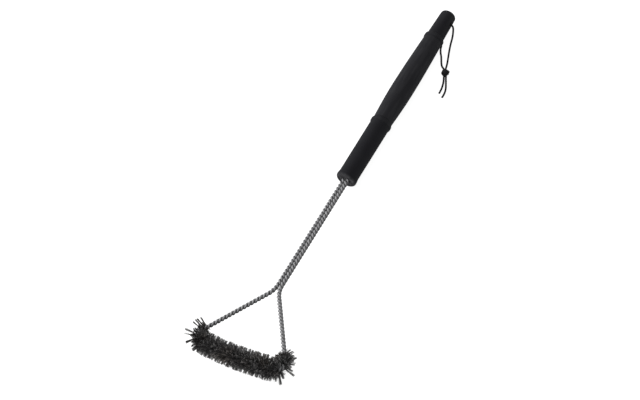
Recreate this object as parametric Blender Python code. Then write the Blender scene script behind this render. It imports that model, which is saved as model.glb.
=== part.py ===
"""Long-handled grill brush with a three-sided head, lying on a flat surface.

Two steel wires are twisted into a rope that runs from the handle down the shaft, round the head
and back up the shaft into the handle. The bristles are clamped between the two wires. A lace is
tied through the butt of the moulded handle.

Metres. +X runs along the handle to its butt, +Y along the head's bar and +Z up, with z = 0 the
surface that the brush lies on and the origin under the middle of its length.
"""

import math

import bmesh
import bpy
from mathutils import Matrix, Vector

# Driving dimensions
OVERALL_LENGTH = 0.533  # from the bar's outer bristle tips to the butt
HANDLE_LENGTH = 0.2745
HEAD_LENGTH = 0.104  # from the bar's outer bristle tips to the point where the arms meet
HEAD_HALF_WIDTH = 0.065  # from the brush's axis to where an arm's line meets the bar's
ROLL_RADIUS = 0.0138  # bristle tips, from the rope's axis
TWIST_PITCH = 0.0091
WIRE_RADIUS = 0.00110
LACE_DIAMETER = 0.0022
GAP = 0.0003  # between pieces that touch

# The rope of two wires
WIRE_ORBIT = 0.00130  # a wire's axis, from the rope's axis
ROPE_RADIUS = WIRE_ORBIT + WIRE_RADIUS
SHAFT_SPREAD = 0.0026  # a shaft rope's axis, from the brush's axis
TANG_LENGTH = 0.040  # rope inside the handle
FORK_BEND_RADIUS = 0.025
CORNER_BEND_RADIUS = 0.007
BAR_BEND_RADIUS = 0.5
BAR_BOW = 0.0052  # the bar's sharp middle, beyond the line through the head's corners
STEPS_PER_TURN = 6

# The handle, measured from its front face
LIP_RADIUS = 0.0126
LIP_ROUND = 0.0031
LIP_SLOPE_MIDDLE = 0.0065  # the slope behind the lip is halfway down to the neck
NECK_START = 0.010
NECK_RADIUS = 0.0119
NECK_END_RADIUS = 0.0122
FRONT_RING = 0.0884
REAR_RING = 0.2307
RING_HALF_WIDTH = 0.0031
RING_CREST_HALF_WIDTH = 0.0019
RING_HEIGHT = 0.0009
BELLY_FROM_FRONT = 0.1465
BELLY_RADIUS = ROLL_RADIUS
WAIST_RADIUS = 0.0120  # on both sides of the belly
TAIL_RADIUS = 0.0111
TAIL_END_RADIUS = 0.0101
BUTT_ROUND = 0.0030
LACE_HOLE = 0.2597
LACE_HOLE_RADIUS = 0.0020
SOCKET_CLEARANCE = 0.0004
OVERCUT = 0.002  # how far the socket's cutter starts before the front face
HANDLE_SIDES = 24
BELLY_STEPS = 12
QUARTER_TURN = (0, 30, 60, 90)  # degrees

# The bristles
BUNCH_COUNT = 18
BUNCH_SIDES = 16
BUNCH_WIDEST_RADIUS = 0.0076  # a bunch narrows from here to its bore and to its rim
BUNCH_BORE_WIDTH = 0.70  # as shares of its widest
BUNCH_RIM_WIDTH = 0.75
BUNCH_SPACING = TWIST_PITCH / 2
BORE_RADIUS = ROPE_RADIUS + 0.0006
ARM_TUFT_RADIUS = 0.0105
ARM_TUFT_FROM_CORNER = 0.024
BALL_LATITUDES = range(-66, 67, 22)  # degrees, the circles of the ball round a corner
FINE_BORE_STEP = 0.0012  # along the bent bore of a corner tuft

# The lace
KNOT_CENTRE = Vector((0.1818, -0.0340, 0.0041))
KNOT_SIZE = Vector((0.0062, 0.0050, 0.0038))  # half axes
KNOT_TURN = math.radians(27)

# Places that follow
AXIS_HEIGHT = ROLL_RADIUS
BUTT_X = OVERALL_LENGTH / 2
HANDLE_X = BUTT_X - HANDLE_LENGTH
TIP_X = -OVERALL_LENGTH / 2
FORK_X = TIP_X + HEAD_LENGTH
BAR_SLOPE = math.atan2(BAR_BOW, HEAD_HALF_WIDTH)
BAR_MIDDLE_X = TIP_X + ROLL_RADIUS - BAR_BEND_RADIUS * (1 / math.cos(BAR_SLOPE) - 1)
CORNER_X = BAR_MIDDLE_X + BAR_BOW
ARM_ANGLE = math.atan2(HEAD_HALF_WIDTH, FORK_X - CORNER_X)
BEND_X = FORK_X - SHAFT_SPREAD / math.tan(ARM_ANGLE)

# The lace's route, chosen by hand: out of the hole, down to the surface and on to the knot. The
# far strand passes under the tail of the handle. Each tail starts at the knot.
LACE_ROUTES = {
    "lace_near_strand": [
        (0.2517, -0.0002, 0.0138), (0.2517, -0.0044, 0.0138), (0.2517, -0.0086, 0.0138),
        (0.2512, -0.0120, 0.0125), (0.2497, -0.0134, 0.0094), (0.2474, -0.0136, 0.0060),
        (0.2439, -0.0140, 0.0030), (0.2394, -0.0148, 0.0015), (0.2325, -0.0165, 0.0012),
        (0.2255, -0.0186, 0.0012), (0.2179, -0.0211, 0.0012), (0.2105, -0.0237, 0.0012),
        (0.2036, -0.0262, 0.0012), (0.1973, -0.0284, 0.0015), (0.1926, -0.0299, 0.0022),
        (0.1884, -0.0314, 0.0029),
    ],
    "lace_far_strand": [
        (0.2517, 0.0002, 0.0138), (0.2517, 0.0044, 0.0138), (0.2517, 0.0086, 0.0138),
        (0.2512, 0.0120, 0.0125), (0.2499, 0.0134, 0.0093), (0.2482, 0.0130, 0.0058),
        (0.2456, 0.0111, 0.0029), (0.2424, 0.0080, 0.0015), (0.2390, 0.0042, 0.0012),
        (0.2350, 0.0004, 0.0012), (0.2306, -0.0033, 0.0012), (0.2257, -0.0063, 0.0012),
        (0.2200, -0.0081, 0.0012), (0.2140, -0.0111, 0.0012), (0.2088, -0.0145, 0.0012),
        (0.2035, -0.0173, 0.0012), (0.1985, -0.0199, 0.0013), (0.1940, -0.0228, 0.0018),
        (0.1903, -0.0262, 0.0029), (0.1874, -0.0295, 0.0041),
    ],
    "lace_tail_1": [
        (0.1750, -0.0355, 0.0034), (0.1718, -0.0366, 0.0022), (0.1686, -0.0375, 0.0014),
        (0.1654, -0.0383, 0.0012), (0.1621, -0.0391, 0.0012), (0.1585, -0.0397, 0.0012),
        (0.1550, -0.0400, 0.0012), (0.1510, -0.0401, 0.0012),
    ],
    "lace_tail_2": [
        (0.1757, -0.0380, 0.0032), (0.1724, -0.0394, 0.0021), (0.1692, -0.0408, 0.0014),
        (0.1660, -0.0423, 0.0012), (0.1628, -0.0438, 0.0012), (0.1587, -0.0454, 0.0012),
        (0.1545, -0.0464, 0.0012), (0.1500, -0.0468, 0.0012), (0.1456, -0.0466, 0.0012),
    ],
}


def clear_scene():
    for obj in list(bpy.data.objects):
        bpy.data.objects.remove(obj)


def material(name, color, roughness, metallic):
    made = bpy.data.materials.new(name)
    made.use_nodes = True
    shader = made.node_tree.nodes["Principled BSDF"]
    shader.inputs["Base Color"].default_value = (*color, 1)
    shader.inputs["Roughness"].default_value = roughness
    shader.inputs["Metallic"].default_value = metallic
    return made


def placed(name, data, surface):
    """A new object in the scene with this mesh or curve and this material."""
    obj = bpy.data.objects.new(name, data)
    bpy.context.scene.collection.objects.link(obj)
    data.materials.clear()
    data.materials.append(surface)
    return obj


def mesh_of(name, bm):
    bmesh.ops.recalc_face_normals(bm, faces=bm.faces)
    mesh = bpy.data.meshes.new(name)
    bm.to_mesh(mesh)
    bm.free()
    mesh.shade_smooth()
    mesh.set_sharp_from_angle(angle=math.radians(35))
    return mesh


def ring_of(bm, centre, axis, radius, sides, start=Vector((0, 0, -1))):
    """Vertices on a circle round axis, the first of them towards start."""
    across = axis.cross(start).normalized()
    up = across.cross(axis).normalized()
    turns = (2 * math.pi * i / sides for i in range(sides))
    return [bm.verts.new(centre + radius * (math.cos(t) * up + math.sin(t) * across)) for t in turns]


def join_rings(bm, first, second):
    for i in range(len(first)):
        j = (i + 1) % len(first)
        bm.faces.new((first[i], first[j], second[j], second[i]))


def turned(name, origin, axis, outline, sides, hollow=False):
    """A turned solid. The outline is (distance along axis, radius), closed on itself if hollow."""
    bm = bmesh.new()
    rings = [ring_of(bm, origin + axis * along, axis, radius, sides) for along, radius in outline]
    for first, second in zip(rings, rings[1:]):
        join_rings(bm, first, second)
    if hollow:
        join_rings(bm, rings[-1], rings[0])
    else:
        bm.faces.new(rings[0])
        bm.faces.new(rings[-1])
    return mesh_of(name, bm)


def tube(name, points, radius, resolution, surface):
    """A tube with flat ends along the points. It has 4 + 2 * resolution sides."""
    curve = bpy.data.curves.new(name, "CURVE")
    curve.dimensions = "3D"
    curve.bevel_depth = radius
    curve.bevel_resolution = resolution
    curve.use_fill_caps = True
    spline = curve.splines.new("POLY")
    spline.points.add(len(points) - 1)
    for made, point in zip(spline.points, points):
        made.co = (*point, 1)
    return placed(name, curve, surface)


def cutter_from(obj):
    """Marks an object as a cutter, which the finished brush leaves out."""
    obj.hide_render = True
    obj.display_type = "WIRE"
    return obj


def cut(obj, cutter):
    boolean = obj.modifiers.new("cut " + cutter.name, "BOOLEAN")
    boolean.operation = "DIFFERENCE"
    boolean.solver = "EXACT"
    boolean.object = cutter_from(cutter)


class Route:
    """A line in the plane z = AXIS_HEIGHT through the points, each corner rounded to its radius.

    Distances along it count from its middle.
    """

    def __init__(self, points, radii):
        self.pieces = []
        points = [Vector((x, y, AXIS_HEIGHT)) for x, y in points]
        here = points[0]
        for before, corner, after, radius in zip(points, points[1:], points[2:], radii):
            heading = (corner - before).normalized()
            leaving = (after - corner).normalized()
            turn = math.atan2(heading.cross(leaving).z, heading.dot(leaving))
            cut_back = radius * math.tan(abs(turn) / 2)
            bend_start = corner - heading * cut_back
            self.pieces.append((here, heading, (bend_start - here).length, 0))
            self.pieces.append((bend_start, heading, radius * abs(turn), math.copysign(1 / radius, turn)))
            here = corner + leaving * cut_back
        self.pieces.append((here, (points[-1] - here).normalized(), (points[-1] - here).length, 0))
        self.half = sum(length for _, _, length, _ in self.pieces) / 2

    def end_of(self, piece):
        return sum(length for _, _, length, _ in self.pieces[: piece + 1]) - self.half

    def at(self, distance):
        """The point there and the direction of travel."""
        along = distance + self.half
        for start, heading, length, curvature in self.pieces:
            if along <= length:
                break
            along -= length
        along = max(0, along)
        if not curvature:
            return start + heading * along, heading
        spin = Matrix.Rotation(curvature * along, 3, "Z")
        centre = start + heading.cross(Vector((0, 0, 1))) * (-1 / curvature)
        return centre + spin @ (start - centre), spin @ heading


def rope_route():
    """From the tang on the right, round the head, to the tang on the left."""
    tang_x = HANDLE_X + TANG_LENGTH
    left = [(CORNER_X, HEAD_HALF_WIDTH), (BEND_X, SHAFT_SPREAD), (tang_x, SHAFT_SPREAD)]
    right = [(x, -y) for x, y in reversed(left)]
    radii = [FORK_BEND_RADIUS, CORNER_BEND_RADIUS, BAR_BEND_RADIUS, CORNER_BEND_RADIUS, FORK_BEND_RADIUS]
    return Route(right + [(BAR_MIDDLE_X, 0)] + left, radii)


# The route's pieces that bound its sections, counted from its start on the right
LEFT_CORNER_BEND = 7
LEFT_FORK_BEND = 9


def wire_points(route, start, end, phase):
    """A wire's axis along a stretch of the rope, which has a left-hand lay."""
    steps = math.ceil((end - start) / (TWIST_PITCH / STEPS_PER_TURN))
    points = []
    for i in range(steps + 1):
        distance = start + (end - start) * i / steps
        centre, heading = route.at(distance)
        side = Vector((0, 0, 1)).cross(heading)
        angle = 2 * math.pi * distance / TWIST_PITCH + phase
        points.append(centre + WIRE_ORBIT * (math.cos(angle) * side - math.sin(angle) * Vector((0, 0, 1))))
    return points


def make_wires(route, steel):
    """Each wire is one length on the real brush. Here it is parted at the forks and the corners."""
    corner = route.end_of(LEFT_CORNER_BEND)
    fork = route.end_of(LEFT_FORK_BEND)
    sections = {
        "shaft_wire_left": (fork, route.half),
        "arm_wire_left": (corner, fork),
        "bar_wire": (-corner, corner),
        "arm_wire_right": (-fork, -corner),
        "shaft_wire_right": (-route.half, -fork),
    }
    for name, (start, end) in sections.items():
        for number in (1, 2):
            phase = math.pi * (number - 1)
            points = wire_points(route, start + GAP, end - GAP, phase)
            tube(f"{name}_{number}", points, WIRE_RADIUS, 0, steel)


def belly_radius(along):
    """The swelling between the two rings: two quarter waves that meet at the belly."""
    if along < BELLY_FROM_FRONT:
        start = FRONT_RING + 2 * RING_HALF_WIDTH
        share = max(0, (along - start) / (BELLY_FROM_FRONT - start))
        rise = math.sin(math.pi / 2 * share)
    else:
        rise = math.cos(math.pi / 2 * (along - BELLY_FROM_FRONT) / (REAR_RING - BELLY_FROM_FRONT))
    return WAIST_RADIUS + (BELLY_RADIUS - WAIST_RADIUS) * rise


def ring_outline(middle, radius_before, radius_after):
    """A raised ring with sloping shoulders."""
    edge = RING_HALF_WIDTH
    crest = RING_CREST_HALF_WIDTH
    top = max(radius_before, radius_after) + RING_HEIGHT
    return [
        (middle - edge, radius_before),
        (middle - crest, top),
        (middle + crest, top),
        (middle + edge, radius_after),
    ]


def handle_outline():
    quarter = [math.radians(turn) for turn in QUARTER_TURN]
    outline = [
        (LIP_ROUND * (1 - math.cos(math.pi / 2 - a)), LIP_RADIUS - LIP_ROUND * (1 - math.sin(a)))
        for a in quarter
    ]
    outline.append((LIP_SLOPE_MIDDLE, (LIP_RADIUS + NECK_RADIUS) / 2))
    outline.append((NECK_START, NECK_RADIUS))
    outline += ring_outline(FRONT_RING, NECK_END_RADIUS, WAIST_RADIUS)
    belly_start = FRONT_RING + 2 * RING_HALF_WIDTH
    belly_end = REAR_RING - 2 * RING_HALF_WIDTH
    step = (belly_end - belly_start) / BELLY_STEPS
    for i in range(BELLY_STEPS + 1):
        along = belly_start + i * step
        outline.append((along, belly_radius(along)))
        if along < BELLY_FROM_FRONT < along + step:
            outline.append((BELLY_FROM_FRONT, BELLY_RADIUS))
    outline += ring_outline(REAR_RING, WAIST_RADIUS, TAIL_RADIUS)
    for a in quarter:
        along = HANDLE_LENGTH - BUTT_ROUND * (1 - math.sin(a))
        outline.append((along, TAIL_END_RADIUS - BUTT_ROUND * (1 - math.cos(a))))
    return outline


def make_socket_cutter(steel):
    """The blind socket for the two tangs: the hull of two round holes side by side."""
    bm = bmesh.new()
    radius = ROPE_RADIUS + SOCKET_CLEARANCE
    for x in (HANDLE_X - OVERCUT, HANDLE_X + TANG_LENGTH + GAP):
        for y in (-SHAFT_SPREAD, SHAFT_SPREAD):
            ring_of(bm, Vector((x, y, AXIS_HEIGHT)), Vector((1, 0, 0)), radius, 12)
    bmesh.ops.convex_hull(bm, input=bm.verts)
    return placed("socket_cutter", mesh_of("socket_cutter", bm), steel)


def make_handle(plastic):
    front = Vector((HANDLE_X, 0, AXIS_HEIGHT))
    mesh = turned("handle", front, Vector((1, 0, 0)), handle_outline(), HANDLE_SIDES)
    handle = placed("handle", mesh, plastic)
    cut(handle, make_socket_cutter(plastic))
    across = Vector((0, 1, 0))
    middle = front + Vector((LACE_HOLE, 0, 0))
    span = 2 * BELLY_RADIUS
    hole = turned("lace_hole_cutter", middle, across, [(-span, LACE_HOLE_RADIUS), (span, LACE_HOLE_RADIUS)], 12)
    cut(handle, placed("lace_hole_cutter", hole, plastic))


def make_bunches(route, bristle):
    """One bunch of bristles in each half turn of the twist, as the round slab that it fills."""
    half = (BUNCH_SPACING - 1.5 * GAP) / 2
    bore = BUNCH_BORE_WIDTH * half
    rim = BUNCH_RIM_WIDTH * half
    outline = [
        (-bore, BORE_RADIUS),
        (-half, BUNCH_WIDEST_RADIUS),
        (-rim, ROLL_RADIUS),
        (rim, ROLL_RADIUS),
        (half, BUNCH_WIDEST_RADIUS),
        (bore, BORE_RADIUS),
    ]
    for i in range(BUNCH_COUNT):
        centre, heading = route.at((i - (BUNCH_COUNT - 1) / 2) * BUNCH_SPACING)
        name = f"bar_bunch_{i + 1:02d}"
        placed(name, turned(name, centre, heading, outline, BUNCH_SIDES, hollow=True), bristle)


def tuft_hull(name, route, side):
    """The bristles round one corner bend and the foot of its arm, without the bore."""
    bm = bmesh.new()
    bar_end = BUNCH_COUNT / 2 * BUNCH_SPACING + GAP
    bend_start = route.end_of(LEFT_CORNER_BEND - 1)
    bend_end = route.end_of(LEFT_CORNER_BEND)
    bend_cut = (Vector((CORNER_X, HEAD_HALF_WIDTH, AXIS_HEIGHT)) - route.at(bend_end)[0]).length
    arm_end = bend_end + ARM_TUFT_FROM_CORNER - bend_cut
    for distance, radius in ((bar_end, ROLL_RADIUS), (arm_end, ARM_TUFT_RADIUS)):
        centre, heading = route.at(side * distance)
        ring_of(bm, centre, heading, radius, BUNCH_SIDES)
    middle, heading = route.at(side * (bend_start + bend_end) / 2)
    for degrees in BALL_LATITUDES:
        latitude = math.radians(degrees)
        centre = middle + heading * ROLL_RADIUS * math.sin(latitude)
        ring_of(bm, centre, heading, ROLL_RADIUS * math.cos(latitude), BUNCH_SIDES)
    bmesh.ops.convex_hull(bm, input=bm.verts)
    inside = [vertex for vertex in bm.verts if not vertex.link_faces]
    bmesh.ops.delete(bm, geom=inside, context="VERTS")
    return mesh_of(name, bm)


def make_corner_tufts(route, bristle):
    for name, side in (("corner_tuft_left", 1), ("corner_tuft_right", -1)):
        tuft = placed(name, tuft_hull(name, route, side), bristle)
        start = BUNCH_COUNT / 2 * BUNCH_SPACING - BUNCH_SPACING
        end = route.end_of(LEFT_CORNER_BEND) + 2 * ARM_TUFT_FROM_CORNER
        steps = round((end - start) / FINE_BORE_STEP)
        line = [route.at(side * (start + (end - start) * i / steps))[0] for i in range(steps + 1)]
        guide = tube(name + "_bore_guide", line, BORE_RADIUS, 2, bristle)
        bore = bpy.data.meshes.new_from_object(guide.evaluated_get(bpy.context.evaluated_depsgraph_get()))
        bpy.data.objects.remove(guide)
        bm = bmesh.new()
        bm.from_mesh(bore)
        bmesh.ops.remove_doubles(bm, verts=bm.verts, dist=1e-6)
        cut(tuft, placed(name + "_bore", mesh_of(name + "_bore", bm), bristle))


def smooth_line(route, spacing, steps=20):
    """Evenly spaced points on a smooth curve through the route's points, each span in steps."""
    ends = [2 * Vector(route[0]) - Vector(route[1]), 2 * Vector(route[-1]) - Vector(route[-2])]
    knots = [ends[0], *map(Vector, route), ends[1]]
    fine = []
    for a, b, c, d in zip(knots, knots[1:], knots[2:], knots[3:]):
        for i in range(steps):
            t = i / steps
            fine.append(
                0.5 * (2 * b + (c - a) * t + (2 * a - 5 * b + 4 * c - d) * t**2 + (3 * b - a - 3 * c + d) * t**3)
            )
    fine.append(knots[-2])
    reach = [0]
    for a, b in zip(fine, fine[1:]):
        reach.append(reach[-1] + (b - a).length)
    count = round(reach[-1] / spacing)
    line = []
    for i in range(count + 1):
        wanted = reach[-1] * i / count
        place = min(range(len(reach)), key=lambda j: abs(reach[j] - wanted))
        line.append(fine[place])
    return line


def make_lace(cord):
    for name, route in LACE_ROUTES.items():
        tube(name, smooth_line(route, 2 * LACE_DIAMETER), LACE_DIAMETER / 2, 2, cord)
    bm = bmesh.new()
    shape = Matrix.Translation(KNOT_CENTRE) @ Matrix.Rotation(KNOT_TURN, 4, "Z") @ Matrix.Diagonal((*KNOT_SIZE, 1))
    bmesh.ops.create_uvsphere(bm, u_segments=14, v_segments=8, radius=1, matrix=shape)
    placed("lace_knot", mesh_of("lace_knot", bm), cord)


def main():
    clear_scene()
    plastic = material("handle_plastic", (0.022, 0.022, 0.025), 0.45, 0)
    steel = material("wire_steel", (0.42, 0.42, 0.43), 0.35, 1)
    bristle = material("bristle_steel", (0.045, 0.040, 0.038), 0.45, 0.8)
    cord = material("lace_cord", (0.015, 0.015, 0.016), 0.8, 0)
    route = rope_route()
    make_handle(plastic)
    make_wires(route, steel)
    make_bunches(route, bristle)
    make_corner_tufts(route, bristle)
    make_lace(cord)


main()
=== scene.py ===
import math
import random

import bmesh
import bpy
from mathutils import Matrix, Vector


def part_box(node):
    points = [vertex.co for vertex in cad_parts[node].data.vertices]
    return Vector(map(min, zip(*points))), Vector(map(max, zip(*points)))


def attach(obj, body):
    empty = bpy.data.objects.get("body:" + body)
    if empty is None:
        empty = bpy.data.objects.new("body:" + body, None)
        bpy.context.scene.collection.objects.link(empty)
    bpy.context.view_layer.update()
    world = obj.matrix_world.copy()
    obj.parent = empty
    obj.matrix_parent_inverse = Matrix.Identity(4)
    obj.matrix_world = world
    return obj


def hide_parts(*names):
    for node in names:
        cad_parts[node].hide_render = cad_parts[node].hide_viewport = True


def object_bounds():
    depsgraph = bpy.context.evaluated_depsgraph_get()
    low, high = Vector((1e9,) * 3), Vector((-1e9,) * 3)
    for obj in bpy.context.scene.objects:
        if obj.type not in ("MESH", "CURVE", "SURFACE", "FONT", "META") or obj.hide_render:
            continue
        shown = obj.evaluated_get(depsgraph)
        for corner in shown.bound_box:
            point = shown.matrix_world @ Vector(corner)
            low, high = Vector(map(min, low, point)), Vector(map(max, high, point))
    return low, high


# The looks of a long-handled grill brush with a three-sided head, lying on a pale floor.
# Metres, in the frame's axes: +X along the handle to its butt, +Y along the head's bar, +Z up.

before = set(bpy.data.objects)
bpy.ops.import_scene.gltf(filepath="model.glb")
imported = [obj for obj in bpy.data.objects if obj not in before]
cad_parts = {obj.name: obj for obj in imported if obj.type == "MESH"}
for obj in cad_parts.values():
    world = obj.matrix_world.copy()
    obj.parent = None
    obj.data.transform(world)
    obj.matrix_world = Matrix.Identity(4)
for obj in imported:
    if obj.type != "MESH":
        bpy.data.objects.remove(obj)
CAD_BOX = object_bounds()

# The camera and the studio
LENS = 60
CAMERA_PLACE = (-0.55725, -0.63965, 0.90654)
CAMERA_RIGHT = Vector((0.4843, -0.81484, -0.31858))
CAMERA_UP = Vector((0.76637, 0.21944, 0.60375))
FLOOR_RADIUS = 4
FLOOR_GAP = 0.0002
FLOOR_GLOW = 0.93
WORLD_STRENGTH = 0.85

# Sizes read from the frame
HANDLE_LOW, HANDLE_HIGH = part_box("handle")
HANDLE_X = HANDLE_LOW.x
BUTT_X = HANDLE_HIGH.x
HANDLE_LENGTH = BUTT_X - HANDLE_X
BELLY_RADIUS = (HANDLE_HIGH.z - HANDLE_LOW.z) / 2
AXIS_HEIGHT = (HANDLE_HIGH.z + HANDLE_LOW.z) / 2
ROLL_RADIUS = AXIS_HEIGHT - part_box("bar_bunch_09")[0].z
TIP_X = CAD_BOX[0].x

# The rope of two wires
HEAD_LENGTH = 0.104
HEAD_HALF_WIDTH = 0.065
TWIST_PITCH = 0.0091
LAY_AT_MIDDLE = math.radians(45)  # so that the two ropes of the shaft nest
WIRE_RADIUS = 0.00136
WIRE_ORBIT = 0.00132
SHAFT_SPREAD = 0.0025
TANG_LENGTH = 0.040
FORK_BEND_RADIUS = 0.025
CORNER_BEND_RADIUS = 0.007
BAR_BEND_RADIUS = 0.5
BAR_BOW = 0.0052
STEPS_PER_TURN = 24
WIRE_SIDES = 12
# Painted shade between the wires: the cosine where it begins, of the angle from the side that faces the
# rope's axis, and how much further on it is full
PAINTED_SHADE_START = -0.35
PAINTED_SHADE_FADE = 0.9

FORK_X = TIP_X + HEAD_LENGTH
BAR_SLOPE = math.atan2(BAR_BOW, HEAD_HALF_WIDTH)
BAR_MIDDLE_X = TIP_X + ROLL_RADIUS - BAR_BEND_RADIUS * (1 / math.cos(BAR_SLOPE) - 1)
CORNER_X = BAR_MIDDLE_X + BAR_BOW
BEND_X = FORK_X - SHAFT_SPREAD * (FORK_X - CORNER_X) / HEAD_HALF_WIDTH

# The handle, measured from its front face
LIP_RADIUS = 0.0126
LIP_ROUND = 0.0031
DISH_RADIUS = 0.0082
DISH_EDGE = 0.0010
DISH_DEPTH = 0.0006
NECK_START = 0.010
NECK_RADIUS = 0.0119
NECK_END_RADIUS = 0.0122
FRONT_RING = 0.0884
REAR_RING = 0.2307
RING_HALF_WIDTH = 0.0031
RING_CREST_HALF_WIDTH = 0.0017
RING_HEIGHT = 0.0009
RING_CROWN = 0.00008
RING_WEAR = 0.1
BELLY_WEAR = 0.15
BELLY_FROM_FRONT = 0.1465
WAIST_RADIUS = 0.0120
TAIL_RADIUS = 0.0111
TAIL_END_RADIUS = 0.0101
BUTT_ROUND = 0.0030
LACE_HOLE = 0.2597
LACE_HOLE_RADIUS = 0.0020
HOLE_CUTTER_REACH = 0.02  # from the handle's axis
MOUTH_DEPTH = 0.0008  # of the lace hole's flared mouths, from the tail's end radius inwards
MOUTH_CLEARANCE = 0.0010  # and outwards
MOUTH_FLARE = 0.0011
SOCKET_RADIUS = 0.0030
SOCKET_CLEARANCE = 0.0003  # past the wires' ends
SOCKET_OVERSHOOT = 0.002  # of its cutter, in front of the handle
HANDLE_SIDES = 96
CUTTER_SIDES = 32

# The bristles
BUNCH_COUNT = 18
BUNCH_SPACING = TWIST_PITCH / 2
BRISTLE_RADIUS = 0.00017
BRISTLE_BEND = 0.00022
BRISTLE_ROOT = 0.0002  # from the rope's axis
BRISTLE_TIP_SIZE = 0.8
BRISTLE_KNEE = 0.55  # of the length
KNEE_BEND = 0.4  # of the tip's bend
ROOT_SHADE = 0.8  # of the bristle's own shade
TIP_SHADE = 1.1
FLOOR_CLEARANCE = 0.0004
STEEP = -0.6  # the height of a direction under which its bristle barely bends down
ROLL_CLEARANCE = 0.0003
LENGTH_SPREAD = 0.045
TUFT_LENGTH_SPREAD = 0.03
SHADE_SPREAD = 0.24
TUFT_WIDTH = 0.00022  # along the rope
LEAN_SHARE = 0.8  # of a tuft's spread, along the rope
PLACE_JITTER = 0.8  # of the spacing of the tufts
# Tufts for each metre of rope, bristles in a tuft, and looser bristles round it
ON_BAR = (1760, 17, 16)
ON_BEND = (1700, 12, 12)
ON_ARM = (1500, 12, 12)
TUFT_DRIFT = math.radians(3)  # of a tuft, from the gap between the wires
TUFT_SPREAD = math.radians(2.8)
FILL_SPREAD = math.radians(22)
FILL_SHARE = 0.77  # of the tufts' length, for the looser bristles
SPIKE_SPREAD = math.radians(2.5)
# Each corner's bristles: their shade, how far along the arm they go, and their lengths, as shares of
# the roll's, on the bend and on the arm
CORNER_PALENESS = {"left": 0.26, "right": 0.36}
ARM_TUFTS = {"left": 0.0075, "right": 0.0100}
CORNER_LENGTHS = {"left": (0.58, 0.58), "right": (0.80, 0.78)}
BARE_BEND = {"left": 0, "right": 0.0045}  # at the bend's middle, without bristles but the long tufts
# Long tufts, listed one by one. Each is its place from the bend's middle towards the arm, its angle up from
# straight out of the head, its lean towards the arm, its length, and its number of bristles.
CORNER_SPIKES = {
    "left": [
        (0.0150, 44, -4, 0.0130, 16), (0.0125, 46, -10, 0.0138, 18), (0.0105, 38, -12, 0.0140, 18),
        (0.0090, 50, -20, 0.0138, 16), (0.0015, 52, -4, 0.0155, 26), (-0.0006, 40, 0, 0.0142, 7),
        (-0.0020, 2, -6, 0.0134, 44),
        (-0.0062, 158, 4, 0.0128, 36), (-0.0050, 140, 6, 0.0124, 36), (-0.0070, 176, 0, 0.0126, 24),
    ],
    "right": [
        (0.0120, 20, 8, 0.0125, 12), (0.0100, 45, 4, 0.0130, 12), (0.0080, 5, 0, 0.0135, 16),
        (0.0060, 30, 0, 0.0135, 12), (0.0012, -14, 2, 0.0150, 34), (-0.0042, -20, 2, 0.0155, 40),
        (0.0045, 62, -10, 0.0100, 30), (-0.0045, 40, 10, 0.0100, 30),
    ],
}

# The lace
LACE_RADIUS = 0.0012
LACE_SIDES = 24
LACE_STEP = 0.00025
EASING_ROUNDS = 12
BRAID_STRANDS = 4
BRAID_LENGTH = 0.0030  # along the lace for one strand to go once round
BRAID_RELIEF = 0.10
BLUNT_END = 0.05  # of the lace's cross-section, left at the very end
KNOT_CENTRE = Vector((0.1818, -0.0340, 0.0041))
KNOT_TURN = math.radians(27)  # of the lace's own direction through the knot
KNOT_SLANT = math.radians(-38)  # of the wraps' axis, from the lace's own direction
KNOT_TURNS = 3.2
KNOT_START = math.radians(160)
KNOT_HALF_WIDTHS = (0.0026, 0.0046)  # of the wraps, from the tails' side to the strands' side
KNOT_HALF_HEIGHT = 0.0026
KNOT_SLIDE = 0.0062  # along the wraps' axis from the first wrap to the last
KNOT_TUCK = 0.6  # how far the wraps' ends draw in
KNOT_TUCK_SHARE = 0.14  # of the way from the wraps' middle to each end
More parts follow.
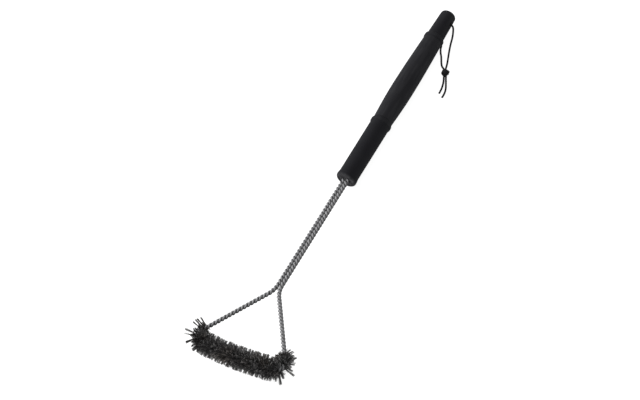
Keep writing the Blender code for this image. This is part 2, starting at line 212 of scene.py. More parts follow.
# Where each half of the lace goes through the knot, from its centre
KNOT_CROSSINGS = {"near": Vector((0.0015, -0.0010, 0)), "far": Vector((0.0010, 0.0014, 0.0004))}
LACE_ROUTES = {
    "lace_near_strand": [
        (0.2517, -0.0002, 0.0138), (0.2517, -0.0044, 0.0138), (0.2517, -0.0086, 0.0138),
        (0.2512, -0.0120, 0.0125), (0.2497, -0.0134, 0.0094), (0.2474, -0.0136, 0.0060),
        (0.2439, -0.0140, 0.0030), (0.2394, -0.0148, 0.0015), (0.2325, -0.0165, 0.0012),
        (0.2255, -0.0186, 0.0012), (0.2179, -0.0211, 0.0012), (0.2105, -0.0237, 0.0012),
        (0.2036, -0.0262, 0.0012), (0.1973, -0.0284, 0.0015), (0.1926, -0.0299, 0.0022),
        (0.1884, -0.0314, 0.0029),
    ],
    "lace_far_strand": [
        (0.2517, 0.0002, 0.0138), (0.2517, 0.0044, 0.0138), (0.2517, 0.0086, 0.0138),
        (0.2512, 0.0120, 0.0125), (0.2499, 0.0134, 0.0093), (0.2482, 0.0130, 0.0058),
        (0.2456, 0.0111, 0.0029), (0.2424, 0.0080, 0.0015), (0.2390, 0.0042, 0.0012),
        (0.2350, 0.0004, 0.0012), (0.2306, -0.0033, 0.0012), (0.2257, -0.0063, 0.0012),
        (0.2200, -0.0081, 0.0012), (0.2140, -0.0111, 0.0012), (0.2088, -0.0145, 0.0012),
        (0.2035, -0.0173, 0.0012), (0.1985, -0.0199, 0.0013), (0.1940, -0.0228, 0.0018),
        (0.1903, -0.0262, 0.0029), (0.1874, -0.0295, 0.0041),
    ],
    "lace_tail_1": [
        (0.1750, -0.0355, 0.0034), (0.1718, -0.0366, 0.0022), (0.1686, -0.0375, 0.0014),
        (0.1654, -0.0383, 0.0012), (0.1621, -0.0391, 0.0012), (0.1585, -0.0397, 0.0012),
        (0.1550, -0.0400, 0.0012), (0.1510, -0.0401, 0.0012),
    ],
    "lace_tail_2": [
        (0.1757, -0.0380, 0.0032), (0.1724, -0.0394, 0.0021), (0.1692, -0.0408, 0.0014),
        (0.1660, -0.0423, 0.0012), (0.1628, -0.0438, 0.0012), (0.1587, -0.0454, 0.0012),
        (0.1545, -0.0464, 0.0012), (0.1500, -0.0468, 0.0012), (0.1456, -0.0466, 0.0012),
    ],
}

ALONG = Vector((1, 0, 0))
ACROSS = Vector((0, 1, 0))
UP = Vector((0, 0, 1))


# Materials

def new_material(name, color, roughness, metallic, specular=0.5):
    made = bpy.data.materials.new(name)
    made.use_nodes = True
    shader = made.node_tree.nodes["Principled BSDF"]
    shader.inputs["Base Color"].default_value = (*color, 1)
    shader.inputs["Roughness"].default_value = roughness
    shader.inputs["Metallic"].default_value = metallic
    shader.inputs["Specular IOR Level"].default_value = specular
    return made, made.node_tree.nodes, made.node_tree.links, shader


def noise_node(nodes, links, scale, detail, stretch=(1, 1, 1)):
    """Noise in the object's own coordinates, drawn out along an axis whose stretch is under 1."""
    place = nodes.new("ShaderNodeTexCoord")
    mapping = nodes.new("ShaderNodeMapping")
    mapping.inputs["Scale"].default_value = stretch
    made = nodes.new("ShaderNodeTexNoise")
    made.inputs["Scale"].default_value = scale
    made.inputs["Detail"].default_value = detail
    links.new(place.outputs["Object"], mapping.inputs["Vector"])
    links.new(mapping.outputs["Vector"], made.inputs["Vector"])
    return made.outputs["Fac"]


def attribute_node(nodes, name):
    made = nodes.new("ShaderNodeAttribute")
    made.attribute_name = name
    return made.outputs["Fac"]


def ramp_node(nodes, links, source, stops):
    """Colours or greys along a source value. Stops are (place, colour), a grey being a colour of one."""
    ramp = nodes.new("ShaderNodeValToRGB")
    while len(ramp.color_ramp.elements) < len(stops):
        ramp.color_ramp.elements.new(0.5)
    for element, (place, color) in zip(ramp.color_ramp.elements, stops):
        element.position = place
        element.color = (*color, 1) if len(color) == 3 else (color[0],) * 3 + (1,)
    links.new(source, ramp.inputs["Fac"])
    return ramp.outputs["Color"]


def mix_node(nodes, links, factor, first, second, mode="MIX"):
    mix = nodes.new("ShaderNodeMix")
    mix.data_type = "RGBA"
    mix.blend_type = mode
    for socket, value in (("Factor", factor), ("A", first), ("B", second)):
        target = [s for s in mix.inputs if s.name == socket and s.type in ("RGBA", "VALUE") and s.enabled]
        target = [s for s in target if (socket == "Factor") == (s.type == "VALUE")][0]
        if isinstance(value, bpy.types.NodeSocket):
            links.new(value, target)
        elif socket == "Factor":
            target.default_value = value
        else:
            target.default_value = (*value, 1)
    return [s for s in mix.outputs if s.type == "RGBA"][0]


def bump_node(nodes, links, height, distance, strength, after=None):
    bump = nodes.new("ShaderNodeBump")
    bump.inputs["Distance"].default_value = distance
    bump.inputs["Strength"].default_value = strength
    links.new(height, bump.inputs["Height"])
    if after:
        links.new(after, bump.inputs["Normal"])
    return bump.outputs["Normal"]


def handle_plastic():
    """Black moulded plastic with a fine spark-eroded grain, paler and scuffed where the wear-and-highlight
    value is 1. Its low values on the rings, grip and butt are real wear; its full value on the front face is
    a painted highlight.
    """
    made, nodes, links, shader = new_material(
        "moulded_black_plastic", (0.0095, 0.0095, 0.0108), roughness=0.7, metallic=0, specular=0.03
    )
    cloud = noise_node(nodes, links, scale=38, detail=4)
    grain = noise_node(nodes, links, scale=1900, detail=2)
    pits = noise_node(nodes, links, scale=620, detail=3)
    scuffs = noise_node(nodes, links, scale=260, detail=6, stretch=(0.15, 1, 1))
    base = ramp_node(nodes, links, cloud, [(0.3, (0.0084, 0.0084, 0.0098)), (0.7, (0.0110, 0.0110, 0.0126))])
    # The paler scuffed colour is real wear on the rings, grip and butt, and a painted highlight on the front
    # face
    worn_and_lit = ramp_node(nodes, links, scuffs, [(0.45, (0.030, 0.030, 0.032)), (0.72, (0.065, 0.065, 0.068))])
    links.new(mix_node(nodes, links, attribute_node(nodes, "wear_and_highlight"), base, worn_and_lit), shader.inputs["Base Color"])
    links.new(ramp_node(nodes, links, pits, [(0.3, (0.62,)), (0.7, (0.78,))]), shader.inputs["Roughness"])
    first = bump_node(nodes, links, grain, distance=0.00006, strength=0.55)
    both = bump_node(nodes, links, pits, distance=0.00008, strength=0.30, after=first)
    links.new(both, shader.inputs["Normal"])
    return made


def wire_steel():
    """Drawn steel wire: fine lines, dull grey zinc, painted shade between the two wires and on the
    underside.
    """
    made, nodes, links, shader = new_material(
        "drawn_steel_wire", (0.2, 0.2, 0.204), roughness=0.65, metallic=0.5, specular=0.2
    )
    shader.inputs["Specular Tint"].default_value = (0.35, 0.35, 0.36, 1)
    lines = noise_node(nodes, links, scale=1400, detail=3, stretch=(0.2, 1, 1))
    spots = noise_node(nodes, links, scale=330, detail=5)
    steel = ramp_node(nodes, links, spots, [(0.32, (0.15, 0.15, 0.153)), (0.68, (0.225, 0.225, 0.23))])
    # Painted shade: each wire's colour goes to a near-black grey on its side that faces the rope's axis,
    # between the two wires
    between_wires_shaded = mix_node(nodes, links, attribute_node(nodes, "crevice_shade"), steel, (0.062, 0.061, 0.061))
    # Painted shade: the wire is darkened to 0.3 of its colour wherever it faces sideways or down, full
    # colour from a normal height of 0.7 up
    facing = nodes.new("ShaderNodeSeparateXYZ")
    links.new(nodes.new("ShaderNodeNewGeometry").outputs["Normal"], facing.inputs[0])
    underside_shade = ramp_node(nodes, links, facing.outputs["Z"], [(0.0, (0.30, 0.30, 0.30)), (0.7, (1, 1, 1))])
    links.new(mix_node(nodes, links, 1.0, between_wires_shaded, underside_shade, "MULTIPLY"), shader.inputs["Base Color"])
    links.new(ramp_node(nodes, links, spots, [(0.3, (0.58,)), (0.7, (0.74,))]), shader.inputs["Roughness"])
    links.new(bump_node(nodes, links, lines, distance=0.00003, strength=0.5), shader.inputs["Normal"])
    return made


def bristle_steel():
    """Near-black spring steel bristles, each its own shade, with patches of brown."""
    made, nodes, links, shader = new_material(
        "blackened_bristle_steel", (0.05, 0.048, 0.047), roughness=0.5, metallic=0.3
    )
    shade = attribute_node(nodes, "shade")
    patches = noise_node(nodes, links, scale=55, detail=3)
    grey = ramp_node(nodes, links, shade, [
        (0.0, (0.022, 0.022, 0.022)), (0.7, (0.094, 0.092, 0.092)), (0.95, (0.50, 0.49, 0.49)),
    ])
    brown = ramp_node(nodes, links, shade, [
        (0.0, (0.023, 0.022, 0.021)), (0.7, (0.099, 0.092, 0.086)), (0.95, (0.50, 0.45, 0.41)),
    ])
    where = ramp_node(nodes, links, patches, [(0.45, (0,)), (0.65, (1,))])
    links.new(mix_node(nodes, links, where, grey, brown), shader.inputs["Base Color"])
    links.new(ramp_node(nodes, links, patches, [(0.3, (0.36,)), (0.7, (0.52,))]), shader.inputs["Roughness"])
    return made


def lace_fibre():
    """Black braided polyester: soft, with a faint sheen and stray fibres."""
    made, nodes, links, shader = new_material(
        "black_braided_lace", (0.006, 0.006, 0.0065), roughness=0.85, metallic=0, specular=0.08
    )
    shader.inputs["Sheen Weight"].default_value = 0.02
    shader.inputs["Sheen Roughness"].default_value = 0.5
    fibres = noise_node(nodes, links, scale=2600, detail=2)
    tone = noise_node(nodes, links, scale=240, detail=3)
    black = ramp_node(nodes, links, tone, [(0.3, (0.0045, 0.0045, 0.005)), (0.7, (0.009, 0.009, 0.0095))])
    links.new(black, shader.inputs["Base Color"])
    links.new(bump_node(nodes, links, fibres, distance=0.00008, strength=0.7), shader.inputs["Normal"])
    return made


# Mesh helpers

def placed(name, mesh, surface):
    mesh.materials.clear()
    mesh.materials.append(surface)
    obj = bpy.data.objects.new(name, mesh)
    bpy.context.scene.collection.objects.link(obj)
    return obj


def mesh_from(name, points, faces, values=None):
    """A smooth mesh. Values are named floats, one for each point."""
    mesh = bpy.data.meshes.new(name)
    mesh.from_pydata(points, [], faces)
    for key, numbers in (values or {}).items():
        mesh.attributes.new(key, "FLOAT", "POINT").data.foreach_set("value", numbers)
    mesh.shade_smooth()
    mesh.set_sharp_from_angle(angle=math.radians(50))
    mesh.update()
    return mesh


def tube_faces(count, sides):
    """Faces of a closed tube of count rings."""
    faces = []
    for i in range(count - 1):
        here = i * sides
        for j in range(sides):
            k = (j + 1) % sides
            faces.append((here + j, here + k, here + sides + k, here + sides + j))
    faces.append(tuple(range(sides - 1, -1, -1)))
    last = (count - 1) * sides
    faces.append(tuple(range(last, last + sides)))
    return faces


def smooth_line(route, spacing):
    """Evenly spaced points on a smooth curve through the route's points."""
    steps = 40
    ends = [2 * Vector(route[0]) - Vector(route[1]), 2 * Vector(route[-1]) - Vector(route[-2])]
    through = [ends[0], *map(Vector, route), ends[1]]
    fine = []
    for a, b, c, d in zip(through, through[1:], through[2:], through[3:]):
        squared = 2 * a - 5 * b + 4 * c - d
        cubed = 3 * b - a - 3 * c + d
        for i in range(steps):
            t = i / steps
            fine.append(0.5 * (2 * b + (c - a) * t + squared * t**2 + cubed * t**3))
    fine.append(through[-2])
    return resampled(fine, spacing)


def resampled(fine, spacing):
    """The same line with evenly spaced points."""
    reach = [0]
    for a, b in zip(fine, fine[1:]):
        reach.append(reach[-1] + (b - a).length)
    count = max(2, round(reach[-1] / spacing))
    line = []
    place = 0
    for i in range(count + 1):
        wanted = reach[-1] * i / count
        while place < len(reach) - 2 and reach[place + 1] < wanted:
            place += 1
        span = reach[place + 1] - reach[place]
        share = (wanted - reach[place]) / span if span else 0
        line.append(fine[place].lerp(fine[place + 1], share))
    return line


def eased(line, rounds):
    """The line with its tight places eased, its ends kept."""
    for _ in range(rounds):
        inner = [(a + 2 * b + c) / 4 for a, b, c in zip(line, line[1:], line[2:])]
        line = [line[0], *inner, line[-1]]
    return line


def line_length(line):
    return sum((b - a).length for a, b in zip(line, line[1:]))


# Camera, floor and lights

def make_camera():
    data = bpy.data.cameras.new("camera")
    data.lens = LENS
    data.sensor_width = 36
    data.clip_start = 0.01
    camera = bpy.data.objects.new("camera", data)
    back = CAMERA_RIGHT.cross(CAMERA_UP).normalized()
    up = back.cross(CAMERA_RIGHT).normalized()
    turn = Matrix((CAMERA_RIGHT.normalized(), up, back)).transposed()
    camera.matrix_world = Matrix.Translation(CAMERA_PLACE) @ turn.to_4x4()
    bpy.context.scene.collection.objects.link(camera)
    bpy.context.scene.camera = camera


def area_light(name, location, size, power):
    """A round lamp aimed at the frame's origin."""
    data = bpy.data.lights.new(name, "AREA")
    data.shape = "DISK"
    data.size = size
    data.energy = power
    lamp = bpy.data.objects.new(name, data)
    lamp.location = location
    lamp.rotation_euler = (-Vector(location)).to_track_quat("-Z", "Y").to_euler()
    bpy.context.scene.collection.objects.link(lamp)


def make_studio():
    """A pale floor that glows a little, a white world, and two lamps."""
    bm = bmesh.new()
    bmesh.ops.create_circle(bm, cap_ends=True, segments=96, radius=FLOOR_RADIUS)
    mesh = bpy.data.meshes.new("floor")
    bm.to_mesh(mesh)
    bm.free()
    surface, _, _, shader = new_material(
        "pale_floor", (0.15, 0.15, 0.15), roughness=0.9, metallic=0, specular=0.1
    )
    shader.inputs["Emission Color"].default_value = (1, 1, 1, 1)
    shader.inputs["Emission Strength"].default_value = FLOOR_GLOW
    floor = placed("floor", mesh, surface)
    floor.location = (0, 0, -FLOOR_GAP)
    world = bpy.data.worlds.new("studio")
    world.use_nodes = True
    sky = world.node_tree.nodes["Background"]
    sky.inputs["Color"].default_value = (1, 1, 1, 1)
    sky.inputs["Strength"].default_value = WORLD_STRENGTH
    bpy.context.scene.world = world
    bpy.context.scene.view_settings.view_transform = "Standard"
    area_light("key", (-0.3, 1.9, 1.5), size=1.6, power=100)
    area_light("top", (0.1, 0.0, 2.2), size=2.4, power=6)


# The lace

def transported(line):
    """For each point of a line, two directions square to it that don't spin along the way."""
    pairs = []
    side = None
    for i in range(len(line)):
        heading = (line[min(i + 1, len(line) - 1)] - line[max(i - 1, 0)]).normalized()
        if side is None:
            side = heading.cross(UP if abs(heading.z) < 0.9 else ALONG)
        side = (side - heading * side.dot(heading)).normalized()
        pairs.append((side, heading.cross(side)))
    return pairs


def braid_points(line, rounded):
    """Points of a braided tube along the line, with the ends named in rounded drawn in."""
    points = []
    travelled = 0
    total = line_length(line)
    for i, (centre, (side, over)) in enumerate(zip(line, transported(line))):
        travelled += (centre - line[i - 1]).length if i else 0
        drawn = 1
        for end, distance in (("start", travelled), ("end", total - travelled)):
            if end in rounded and distance < LACE_RADIUS:
                drawn = math.sqrt(max(BLUNT_END, 1 - (1 - distance / LACE_RADIUS) ** 2))
        turn = 2 * math.pi * travelled / BRAID_LENGTH
        for j in range(LACE_SIDES):
            angle = 2 * math.pi * j / LACE_SIDES
            left = math.cos(BRAID_STRANDS * angle + turn)
            right = math.cos(BRAID_STRANDS * angle - turn)
            relief = 1 - BRAID_RELIEF * (1 - max(left, right)) / 2
            outward = math.cos(angle) * side + math.sin(angle) * over
            points.append(centre + LACE_RADIUS * drawn * relief * outward)
    return points


def braided_tube(name, line, surface, rounded):
    points = braid_points(line, rounded)
    return placed(name, mesh_from(name, points, tube_faces(len(line), LACE_SIDES)), surface)


def knot_wraps():
    """The lace where it wraps round the two strands, wider towards the strands, its ends tucked in."""
    steps = 200
    turn = Matrix.Rotation(KNOT_TURN + KNOT_SLANT, 3, "Z")
    narrow, wide = KNOT_HALF_WIDTHS
    wraps = []
    for i in range(steps + 1):
        share = i / steps
        angle = 2 * math.pi * KNOT_TURNS * share + KNOT_START
        tuck = 1 - KNOT_TUCK * max(0, abs(2 * share - 1) - (1 - KNOT_TUCK_SHARE)) / KNOT_TUCK_SHARE
        wraps.append(KNOT_CENTRE + turn @ Vector((
            KNOT_SLIDE * (share - 0.5),
            (narrow + (wide - narrow) * share) * tuck * math.cos(angle),
            KNOT_HALF_HEIGHT * tuck * math.sin(angle),
        )))
    return resampled(wraps, LACE_STEP)


def make_lace():
    """The lace as two halves that start in the handle's hole and go through the knot to a bare end."""
    surface = lace_fibre()
    knot = braided_tube("tied_knot", knot_wraps(), surface, ("start", "end"))
    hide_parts("lace_knot")
    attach(knot, "root")
    halves = {
        "near": ("lace_near_strand", "lace_tail_2", -TAIL_END_RADIUS),
        "far": ("lace_far_strand", "lace_tail_1", TAIL_END_RADIUS),
    }
    for name, (strand, tail, mouth_y) in halves.items():
        route = [*LACE_ROUTES[strand], KNOT_CENTRE + KNOT_CROSSINGS[name], *LACE_ROUTES[tail]]
        line = eased(smooth_line(route, LACE_STEP), EASING_ROUNDS)
        half = braided_tube(f"lace_{name}_half", line, surface, ("end",))
        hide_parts(strand, tail)
        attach(half, "root")


# The twisted wires

class Route:
    """A line in the plane z = AXIS_HEIGHT through the points, each corner rounded to its radius.

    Distances along it count from its middle.
    """

    def __init__(self, points, radii):
        self.pieces = []
        points = [Vector((x, y, AXIS_HEIGHT)) for x, y in points]
        here = points[0]
        for before, corner, after, radius in zip(points, points[1:], points[2:], radii):
            heading = (corner - before).normalized()
            leaving = (after - corner).normalized()
            turn = math.atan2(heading.cross(leaving).z, heading.dot(leaving))
            cut_back = radius * math.tan(abs(turn) / 2)
            bend_start = corner - heading * cut_back
            self.pieces.append((here, heading, (bend_start - here).length, 0))
            self.pieces.append((bend_start, heading, radius * abs(turn), math.copysign(1 / radius, turn)))
            here = corner + leaving * cut_back
        self.pieces.append((here, (points[-1] - here).normalized(), (points[-1] - here).length, 0))
        self.half = sum(length for _, _, length, _ in self.pieces) / 2

    def end_of(self, piece):
        """How far along the route a piece ends."""
        return sum(length for _, _, length, _ in self.pieces[: piece + 1]) - self.half

    def at(self, distance):
        """The point there and the direction of travel."""
        along = distance + self.half
        for start, heading, length, curvature in self.pieces:
            if along <= length:
                break
            along -= length
        along = max(0, along)
        if not curvature:
            return start + heading * along, heading
        spin = Matrix.Rotation(curvature * along, 3, "Z")
        centre = start + heading.cross(UP) * (-1 / curvature)
        return centre + spin @ (start - centre), spin @ heading


def rope_route():
    """From the tang on the right, round the head, to the tang on the left."""
    tang_x = HANDLE_X + TANG_LENGTH
    left = [(CORNER_X, HEAD_HALF_WIDTH), (BEND_X, SHAFT_SPREAD), (tang_x, SHAFT_SPREAD)]
    right = [(x, -y) for x, y in reversed(left)]
    radii = [FORK_BEND_RADIUS, CORNER_BEND_RADIUS, BAR_BEND_RADIUS, CORNER_BEND_RADIUS, FORK_BEND_RADIUS]
    return Route(right + [(BAR_MIDDLE_X, 0)] + left, radii)


# The number of the left corner's bend among the route's pieces
LEFT_CORNER_BEND = 7


def lay_angle(distance):
    """Where the first wire is, round the rope."""
    return 2 * math.pi * distance / TWIST_PITCH + LAY_AT_MIDDLE


def make_wires(route):
    """Two whole wires, each wound along the route half a turn from the other."""
    surface = wire_steel()
    sections = ["shaft_wire_left", "arm_wire_left", "bar_wire", "arm_wire_right", "shaft_wire_right"]
    steps = round(2 * route.half / (TWIST_PITCH / STEPS_PER_TURN))
    for number in (1, 2):
        line = []
        inward = []
        for i in range(steps + 1):
            distance = route.half * (2 * i / steps - 1)
            centre, heading = route.at(distance)
            angle = lay_angle(distance) + math.pi * (number - 1)
            outward = math.cos(angle) * UP.cross(heading) - math.sin(angle) * UP
            line.append(centre + WIRE_ORBIT * outward)
            inward.append(-outward)
        points = []
        # How much painted shade each point gets, full on the side that faces the rope's axis
        crevice_shade = []
        for i, centre in enumerate(line):
            heading = (line[min(i + 1, steps)] - line[max(i - 1, 0)]).normalized()
            side = (inward[i] - heading * inward[i].dot(heading)).normalized()
            over = heading.cross(side)
            for j in range(WIRE_SIDES):
                turn = 2 * math.pi * j / WIRE_SIDES
                points.append(centre + WIRE_RADIUS * (math.cos(turn) * side + math.sin(turn) * over))
                crevice_shade.append(min(1, max(0, math.cos(turn) - PAINTED_SHADE_START) / PAINTED_SHADE_FADE))
        name = f"twisted_wire_{number}"
        mesh = mesh_from(name, points, tube_faces(steps + 1, WIRE_SIDES), {"crevice_shade": crevice_shade})
        wire = placed(name, mesh, surface)
        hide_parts(*(f"{section}_{number}" for section in sections))
        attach(wire, "root")


# The bristles

class Bristles:
    """Gathers bristles into one mesh. Each is a three-sided wire in two lengths, slightly bent."""

    def __init__(self, seed, paleness=0.45):
        self.random = random.Random(seed)
        self.paleness = paleness
        self.points = []
        self.faces = []
        self.shades = []

    def add(self, root, direction, length, bend, shade):
        first = len(self.points)
        side = direction.cross(UP if abs(direction.z) < 0.9 else ALONG).normalized()
        over = direction.cross(side)
        knee = root + direction * length * BRISTLE_KNEE + bend * KNEE_BEND
        tip = root + direction * length + bend
        for centre, size in ((root, 1), (knee, 1), (tip, BRISTLE_TIP_SIZE)):
            for j in range(3):
                turn = 2 * math.pi * j / 3
                outward = math.cos(turn) * side + math.sin(turn) * over
                self.points.append(centre + size * BRISTLE_RADIUS * outward)
        for here in (first, first + 3):
            for j in range(3):
                k = (j + 1) % 3
                self.faces.append((here + j, here + k, here + 3 + k, here + 3 + j))
        self.faces.append((first + 6, first + 7, first + 8))
        self.faces.append((first + 2, first + 1, first))
        self.shades += [ROOT_SHADE * shade] * 3 + [shade] * 3 + [min(1, TIP_SHADE * shade)] * 3

    def tuft(self, route, distance, angle, lean, length, count, spread):
        """Bristles clamped together in the rope: angle is round the rope, lean along it."""
        gauss = self.random.gauss
        for _ in range(count):
            centre, heading = route.at(distance + gauss(0, TUFT_WIDTH))
            side = UP.cross(heading)
            turn = angle + gauss(0, spread)
            tip_lean = lean + gauss(0, LEAN_SHARE * spread)
            radial = math.cos(turn) * side - math.sin(turn) * UP
            direction = (radial * math.cos(tip_lean) + heading * math.sin(tip_lean)).normalized()
            bend = Vector((gauss(0, 1), gauss(0, 1), gauss(0, 1))) * BRISTLE_BEND
            own = length * (1 - abs(gauss(0, LENGTH_SPREAD)))
            shade = min(1, max(0, self.paleness + gauss(0, SHADE_SPREAD)))
            if direction.z < 0:
                own = min(own, (AXIS_HEIGHT - FLOOR_CLEARANCE) / -direction.z)
            if direction.z < STEEP:
                bend.z = max(bend.z, -FLOOR_CLEARANCE / 2)
            self.add(centre + radial * BRISTLE_ROOT, direction, own, bend, shade)

    def obj(self, name, surface):
        return placed(name, mesh_from(name, self.points, self.faces, {"shade": self.shades}), surface)


def fill_stretch(bristles, route, start, end, length, filling):
    """Tufts out of the gap between the wires along a stretch of rope, and looser bristles round them."""
    per_metre, tuft_size, fill_size = filling
    gauss = bristles.random.gauss
    places = max(1, round(abs(end - start) * per_metre))
    for i in range(places):
        jitter = PLACE_JITTER * (bristles.random.random() - 0.5)
        distance = start + (end - start) * (i + 0.5 + jitter) / places
        for out in (math.pi / 2, -math.pi / 2):
            angle = lay_angle(distance) + out
            own = length * (1 - abs(gauss(0, TUFT_LENGTH_SPREAD)))
            drifted = angle + gauss(0, TUFT_DRIFT)
            lean = gauss(0, TUFT_DRIFT)
            bristles.tuft(route, distance, drifted, lean, own, tuft_size, TUFT_SPREAD)
            bristles.tuft(route, distance, angle, 0, FILL_SHARE * length, fill_size, FILL_SPREAD)


def spikes(bristles, route, side, corner, tufts):
    for place, up_angle, lean, length, count in tufts:
        angle = math.radians(-up_angle)
        along_rope = side * math.radians(lean)
        bristles.tuft(route, side * (corner + place), angle, along_rope, length, count, SPIKE_SPREAD)


def finished(piece, node):
    """Hides the frame's node that a mesh of bristles stands for, and attaches the mesh to the root body."""
    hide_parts(node)
    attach(piece, "root")


def make_bar_bunches(route, length, surface):
    for i in range(BUNCH_COUNT):
        bristles = Bristles(100 + i)
        middle = (i - (BUNCH_COUNT - 1) / 2) * BUNCH_SPACING
        start = middle - BUNCH_SPACING / 2
        fill_stretch(bristles, route, start, start + BUNCH_SPACING, length, ON_BAR)
        finished(bristles.obj(f"bristle_bunch_{i + 1:02d}", surface), f"bar_bunch_{i + 1:02d}")


def make_corner(route, length, surface, name, side, seed):
    """The bristles past the bar's last bunch on one side: the bar's end, the bend and the arm's foot."""
    bar_end = BUNCH_COUNT / 2 * BUNCH_SPACING
    bend_start = route.end_of(LEFT_CORNER_BEND - 1)
    bend_end = route.end_of(LEFT_CORNER_BEND)
    corner = (bend_start + bend_end) / 2
    bare = BARE_BEND[name] / 2
    on_bend, on_arm = (share * length for share in CORNER_LENGTHS[name])
    bristles = Bristles(seed, CORNER_PALENESS[name])
    for start, end, own, filling in (
        (bar_end, bend_start, length, ON_BAR),
        (bend_start, corner - bare, on_bend, ON_BEND),
        (corner + bare, bend_end, on_bend, ON_BEND),
        (bend_end, bend_end + ARM_TUFTS[name], on_arm, ON_ARM),
    ):
        fill_stretch(bristles, route, side * start, side * end, own, filling)
    spikes(bristles, route, side, corner, CORNER_SPIKES[name])
    finished(bristles.obj("corner_bristles_" + name, surface), "corner_tuft_" + name)


def make_bristles(route):
    surface = bristle_steel()
    length = ROLL_RADIUS - ROLL_CLEARANCE
    make_bar_bunches(route, length, surface)
    make_corner(route, length, surface, "left", 1, seed=200)
    make_corner(route, length, surface, "right", -1, seed=300)


# The handle

def eased_step(share):
    return share * share * (3 - 2 * share)


def belly_radius(along):
    """The grip swells from its waist behind the front ring to its fullest and thins to the rear ring."""
    if along < BELLY_FROM_FRONT:
        start = FRONT_RING + 2 * RING_HALF_WIDTH
        share = max(0, (along - start) / (BELLY_FROM_FRONT - start))
        rise = math.sin(math.pi / 2 * share)
    else:
        rise = math.cos(math.pi / 2 * (along - BELLY_FROM_FRONT) / (REAR_RING - BELLY_FROM_FRONT))
    return WAIST_RADIUS + (BELLY_RADIUS - WAIST_RADIUS) * rise


def ring_profile(middle, before, after):
    """A raised ring: an eased rise, a slightly crowned crest and an eased fall."""
    points = []
    steps = 8
    top = max(before, after) + RING_HEIGHT
    for i in range(steps + 1):
        share = i / steps
        along = middle - RING_HALF_WIDTH + (RING_HALF_WIDTH - RING_CREST_HALF_WIDTH) * share
        points.append((along, before + (top - before) * eased_step(share), RING_WEAR * share))
    for i in range(1, steps):
        share = 2 * i / steps - 1
        crown = RING_CROWN * (1 - share * share)
        points.append((middle + RING_CREST_HALF_WIDTH * share, top + crown, RING_WEAR))
    for i in range(steps + 1):
        share = i / steps
        along = middle + RING_CREST_HALF_WIDTH + (RING_HALF_WIDTH - RING_CREST_HALF_WIDTH) * share
        points.append((along, top + (after - top) * eased_step(share), RING_WEAR * (1 - share)))
    return points


def between(start, end, count):
    """The places that divide a stretch into count equal lengths, its ends left out."""
    return [start + (end - start) * i / count for i in range(1, count)]


def handle_profile():
    """(distance from the front face, radius, wear and painted highlight) from the middle of the front face
    to the butt's.
    """
    # The front face takes the full value, fading round the lip: a painted highlight that makes the face
    # paler
    points = [(DISH_DEPTH, radius, 1) for radius in (0.0005, 0.002, 0.004, 0.006, 0.0080)]
    for i in range(7):
        share = i / 6
        points.append((DISH_DEPTH * (1 - eased_step(share)), DISH_RADIUS + DISH_EDGE * share, 1))
    for i in range(11):
        turn = math.pi / 2 * i / 10
        along = LIP_ROUND * (1 - math.cos(turn))
        points.append((along, LIP_RADIUS - LIP_ROUND * (1 - math.sin(turn)), math.cos(turn) ** 2))
    for along in between(LIP_ROUND, NECK_START, 14):
        fall = eased_step((along - LIP_ROUND) / (NECK_START - LIP_ROUND))
        points.append((along, LIP_RADIUS + (NECK_RADIUS - LIP_RADIUS) * fall, 0))
    neck_end = FRONT_RING - RING_HALF_WIDTH
    for along in [NECK_START] + between(NECK_START, neck_end, 16):
        share = (along - NECK_START) / (neck_end - NECK_START)
        points.append((along, NECK_RADIUS + (NECK_END_RADIUS - NECK_RADIUS) * share, 0))
    points += ring_profile(FRONT_RING, NECK_END_RADIUS, WAIST_RADIUS)
    for along in between(FRONT_RING + RING_HALF_WIDTH, REAR_RING - RING_HALF_WIDTH, 60):
        points.append((along, belly_radius(along), BELLY_WEAR))
    points += ring_profile(REAR_RING, WAIST_RADIUS, TAIL_RADIUS)
    tail_start = REAR_RING + RING_HALF_WIDTH
    tail_end = HANDLE_LENGTH - BUTT_ROUND
    for along in between(tail_start, tail_end, 14):
        share = (along - tail_start) / (tail_end - tail_start)
        points.append((along, TAIL_RADIUS + (TAIL_END_RADIUS - TAIL_RADIUS) * share, RING_WEAR * share))
    for i in range(11):
        turn = math.pi / 2 * i / 10
        radius = TAIL_END_RADIUS - BUTT_ROUND * (1 - math.cos(turn))
        points.append((tail_end + BUTT_ROUND * math.sin(turn), radius, RING_WEAR))
    points += [(HANDLE_LENGTH, radius, RING_WEAR) for radius in (0.0055, 0.0035, 0.0015, 0.0005)]
    return points


def turned_mesh(name, profile):
    """The profile turned round the handle's axis."""
    points = []
    wear_and_highlight = []
    for along, radius, rubbed_and_lit in profile:
        for j in range(HANDLE_SIDES):
            turn = 2 * math.pi * j / HANDLE_SIDES
            points.append((HANDLE_X + along, radius * math.sin(turn), AXIS_HEIGHT - radius * math.cos(turn)))
            wear_and_highlight.append(rubbed_and_lit)
    faces = [tuple(reversed(face)) for face in tube_faces(len(profile), HANDLE_SIDES)]
    return mesh_from(name, points, faces, {"wear_and_highlight": wear_and_highlight})


def hull_cutter(name, circles):
    """The hull of circles: (centre, axis, radius)."""
    bm = bmesh.new()
    for centre, axis, radius in circles:
        across = axis.orthogonal().normalized()
        over = axis.cross(across)
        for j in range(CUTTER_SIDES):
            turn = 2 * math.pi * j / CUTTER_SIDES
            bm.verts.new(centre + radius * (math.cos(turn) * across + math.sin(turn) * over))
    bmesh.ops.convex_hull(bm, input=bm.verts)
    bmesh.ops.recalc_face_normals(bm, faces=bm.faces)
    mesh = bpy.data.meshes.new(name)
    bm.to_mesh(mesh)
    bm.free()
    obj = bpy.data.objects.new(name, mesh)
    bpy.context.scene.collection.objects.link(obj)
    return obj


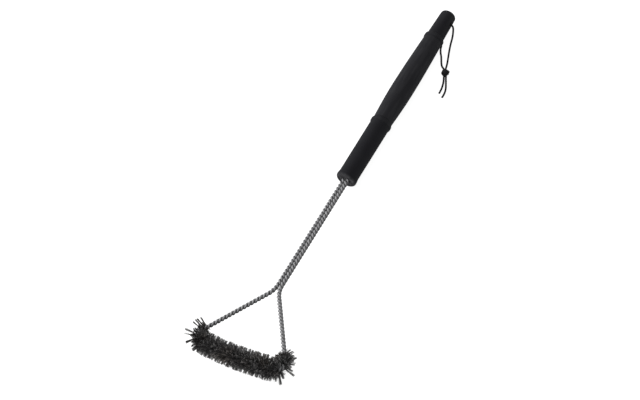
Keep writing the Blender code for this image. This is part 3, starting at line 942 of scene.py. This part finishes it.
def cut_mesh(obj, cutters):
    """Cuts each cutter out of the object's mesh and removes it."""
    for cutter in cutters:
        boolean = obj.modifiers.new(cutter.name, "BOOLEAN")
        boolean.operation = "DIFFERENCE"
        boolean.solver = "EXACT"
        boolean.object = cutter
    cut = bpy.data.meshes.new_from_object(obj.evaluated_get(bpy.context.evaluated_depsgraph_get()))
    obj.modifiers.clear()
    obj.data = cut
    for cutter in cutters:
        bpy.data.objects.remove(cutter)
    cut.shade_smooth()
    cut.set_sharp_from_angle(angle=math.radians(40))


def tang_socket():
    """One flat-sided hollow for the four wire ends, open at the front face."""
    circles = []
    for x in (-SOCKET_OVERSHOOT, TANG_LENGTH + SOCKET_CLEARANCE):
        for y in (-SHAFT_SPREAD, SHAFT_SPREAD):
            circles.append((Vector((HANDLE_X + x, y, AXIS_HEIGHT)), ALONG, SOCKET_RADIUS))
    return hull_cutter("socket", circles)


def lace_hole():
    """The hole across the tail, and a flared mouth at each end of it."""
    middle = Vector((HANDLE_X + LACE_HOLE, 0, AXIS_HEIGHT))
    ends = [middle - ACROSS * HOLE_CUTTER_REACH, middle + ACROSS * HOLE_CUTTER_REACH]
    cutters = [hull_cutter("hole", [(end, ACROSS, LACE_HOLE_RADIUS) for end in ends])]
    for i, side in enumerate((-1, 1)):
        inner = middle + ACROSS * side * (TAIL_END_RADIUS - MOUTH_DEPTH)
        outer = middle + ACROSS * side * (TAIL_END_RADIUS + MOUTH_CLEARANCE)
        cutters.append(hull_cutter(f"mouth_{i}", [
            (inner, ACROSS, LACE_HOLE_RADIUS),
            (outer, ACROSS, LACE_HOLE_RADIUS + MOUTH_FLARE),
        ]))
    return cutters


def make_handle():
    grip = placed("moulded_grip", turned_mesh("moulded_grip", handle_profile()), handle_plastic())
    cut_mesh(grip, [tang_socket(), *lace_hole()])
    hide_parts("handle")
    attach(grip, "root")


def main():
    make_camera()
    make_lace()
    make_studio()
    route = rope_route()
    make_wires(route)
    make_bristles(route)
    make_handle()


main()
